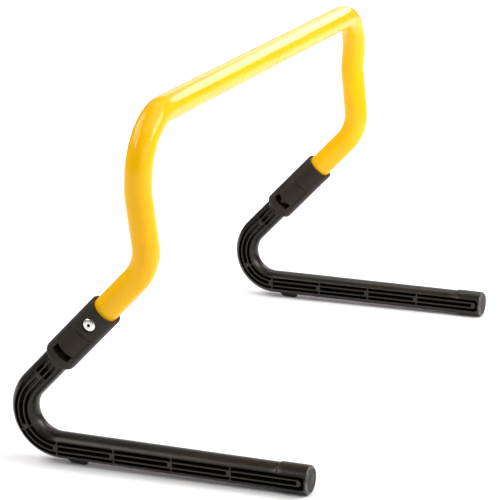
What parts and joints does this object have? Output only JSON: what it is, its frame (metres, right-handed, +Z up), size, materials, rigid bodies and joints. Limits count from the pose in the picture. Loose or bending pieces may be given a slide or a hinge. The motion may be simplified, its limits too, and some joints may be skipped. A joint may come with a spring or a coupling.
{
  "type": "agility hurdle",
  "caption": "Low training hurdle: a bent yellow tube frame on two swivelling black ribbed legs, joined by push-latch sleeves.",
  "frame": {"origin": "on the ground under the middle of the bounding box", "axes": "+Z up, +X along the crossbar, the feet point to -Y"},
  "size_m": [0.5306, 0.2592, 0.3047],
  "materials": {
    "yellow_paint": "glossy powder coat",
    "black_plastic": "satin moulded, slightly glossy",
    "grey_plastic": "fine matt moulded",
    "rubber": "matt",
    "bright_metal": "bright",
    "spring_steel": "bright wire"
  },
  "bodies": {
    "frame": {"frame_tube": "yellow_paint", "left_latch_housing": "grey_plastic", "right_latch_housing": "grey_plastic", "left_tube_collar": "grey_plastic", "right_tube_collar": "grey_plastic", "left_tube_rivet": "bright_metal", "right_tube_rivet": "bright_metal", "left_latch_spring": "spring_steel", "right_latch_spring": "spring_steel"},
    "left_leg": {"left_leg": "black_plastic", "left_foot_plug": "grey_plastic", "left_foot_pad": "rubber", "left_friction_ring": "rubber"},
    "right_leg": {"right_leg": "black_plastic", "right_foot_plug": "grey_plastic", "right_foot_pad": "rubber", "right_friction_ring": "rubber"},
    "left_outer_latch": {"left_outer_latch": "grey_plastic"},
    "left_inner_latch": {"left_inner_latch": "grey_plastic"},
    "right_outer_latch": {"right_outer_latch": "grey_plastic"},
    "right_inner_latch": {"right_inner_latch": "grey_plastic"}
  },
  "joints": [
    {"name": "left_leg_swivel", "type": "hinge", "parent": "frame", "child": "left_leg", "pos_m": [-0.24426, 0.15965, 0.015], "axis": [0.0304, 0.6974, -0.716], "range_deg": [0, 180]},
    {"name": "right_leg_swivel", "type": "hinge", "parent": "frame", "child": "right_leg", "pos_m": [0.24426, 0.15965, 0.015], "axis": [0.0304, -0.6974, 0.716], "range_deg": [0, 180]},
    {"name": "left_outer_press", "type": "slide", "parent": "frame", "child": "left_outer_latch", "axis": [0.9991, 0, 0.0425], "range_m": [0, 0.0016], "stiffness_N_per_m": 500, "springref_m": -0.004, "deforming": ["left_latch_spring"]},
    {"name": "left_inner_press", "type": "slide", "parent": "frame", "child": "left_inner_latch", "axis": [-0.9991, 0, -0.0425], "range_m": [0, 0.0016], "stiffness_N_per_m": 500, "springref_m": -0.004, "deforming": ["left_latch_spring"]},
    {"name": "right_outer_press", "type": "slide", "parent": "frame", "child": "right_outer_latch", "axis": [-0.9991, 0, 0.0425], "range_m": [0, 0.0016], "stiffness_N_per_m": 500, "springref_m": -0.004, "deforming": ["right_latch_spring"]},
    {"name": "right_inner_press", "type": "slide", "parent": "frame", "child": "right_inner_latch", "axis": [0.9991, 0, -0.0425], "range_m": [0, 0.0016], "stiffness_N_per_m": 500, "springref_m": -0.004, "deforming": ["right_latch_spring"]}
  ]
}
